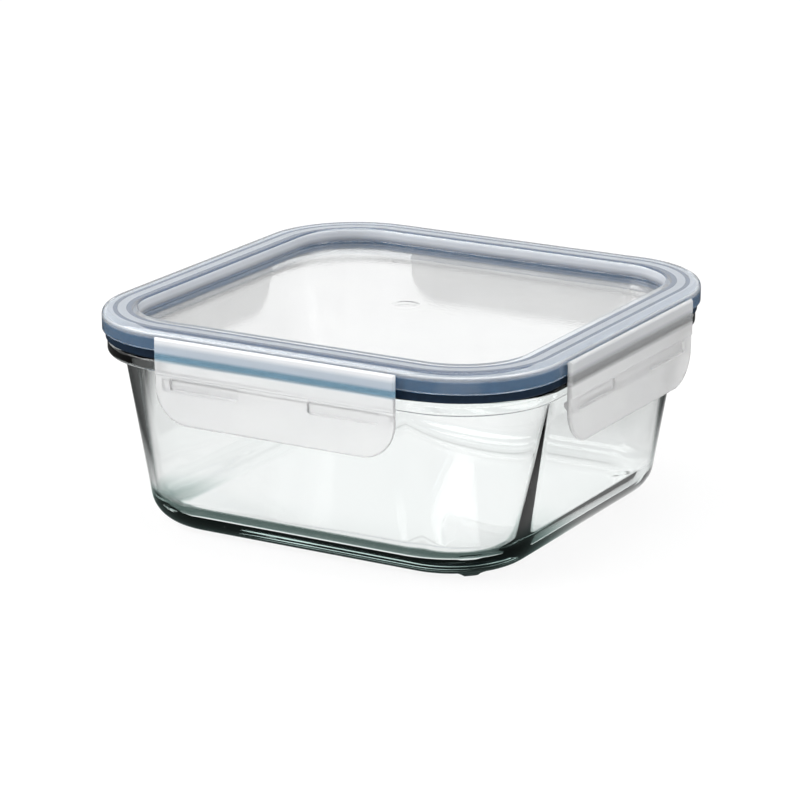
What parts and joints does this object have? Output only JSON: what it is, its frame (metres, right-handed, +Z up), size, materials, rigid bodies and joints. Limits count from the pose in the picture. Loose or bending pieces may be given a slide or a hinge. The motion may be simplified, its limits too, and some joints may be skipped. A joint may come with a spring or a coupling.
{
  "type": "glass lunch box",
  "caption": "Square clear glass lunch box with a clip-on translucent lid, a blue silicone seal and hinged locking flaps on its sides.",
  "frame": {"origin": "on the table, under the middle of the dish", "axes": "+Z up, -Y towards the front flap, +X to the right"},
  "size_m": [0.1536, 0.1536, 0.0665],
  "materials": {
    "glass": "clear polished glass with a faint green tint in thick edges",
    "lid_plastic": "milky translucent polypropylene",
    "seal_silicone": "satin blue silicone"
  },
  "bodies": {
    "dish": {"glass_dish": "glass"},
    "lid": {"lid": "lid_plastic", "seal_ring": "seal_silicone", "film_hinge_front": "lid_plastic", "film_hinge_right": "lid_plastic", "film_hinge_back": "lid_plastic", "film_hinge_left": "lid_plastic"},
    "latch_front": {"latch_front": "lid_plastic"},
    "latch_right": {"latch_right": "lid_plastic"},
    "latch_back": {"latch_back": "lid_plastic"},
    "latch_left": {"latch_left": "lid_plastic"}
  },
  "joints": [
    {"name": "lid_lift", "type": "slide", "parent": "dish", "child": "lid", "axis": [0, 0, 1], "range_m": [0, 0.06]},
    {"name": "latch_front_swing", "type": "hinge", "parent": "lid", "child": "latch_front", "pos_m": [0, -0.07595, 0.064], "axis": [-1, 0, 0], "range_deg": [-6, 150]},
    {"name": "latch_right_swing", "type": "hinge", "parent": "lid", "child": "latch_right", "pos_m": [0.07595, 0, 0.064], "axis": [0, -1, 0], "range_deg": [-6, 150]},
    {"name": "latch_back_swing", "type": "hinge", "parent": "lid", "child": "latch_back", "pos_m": [0, 0.07595, 0.064], "axis": [1, 0, 0], "range_deg": [-6, 150]},
    {"name": "latch_left_swing", "type": "hinge", "parent": "lid", "child": "latch_left", "pos_m": [-0.07595, 0, 0.064], "axis": [0, 1, 0], "range_deg": [-6, 150]}
  ]
}
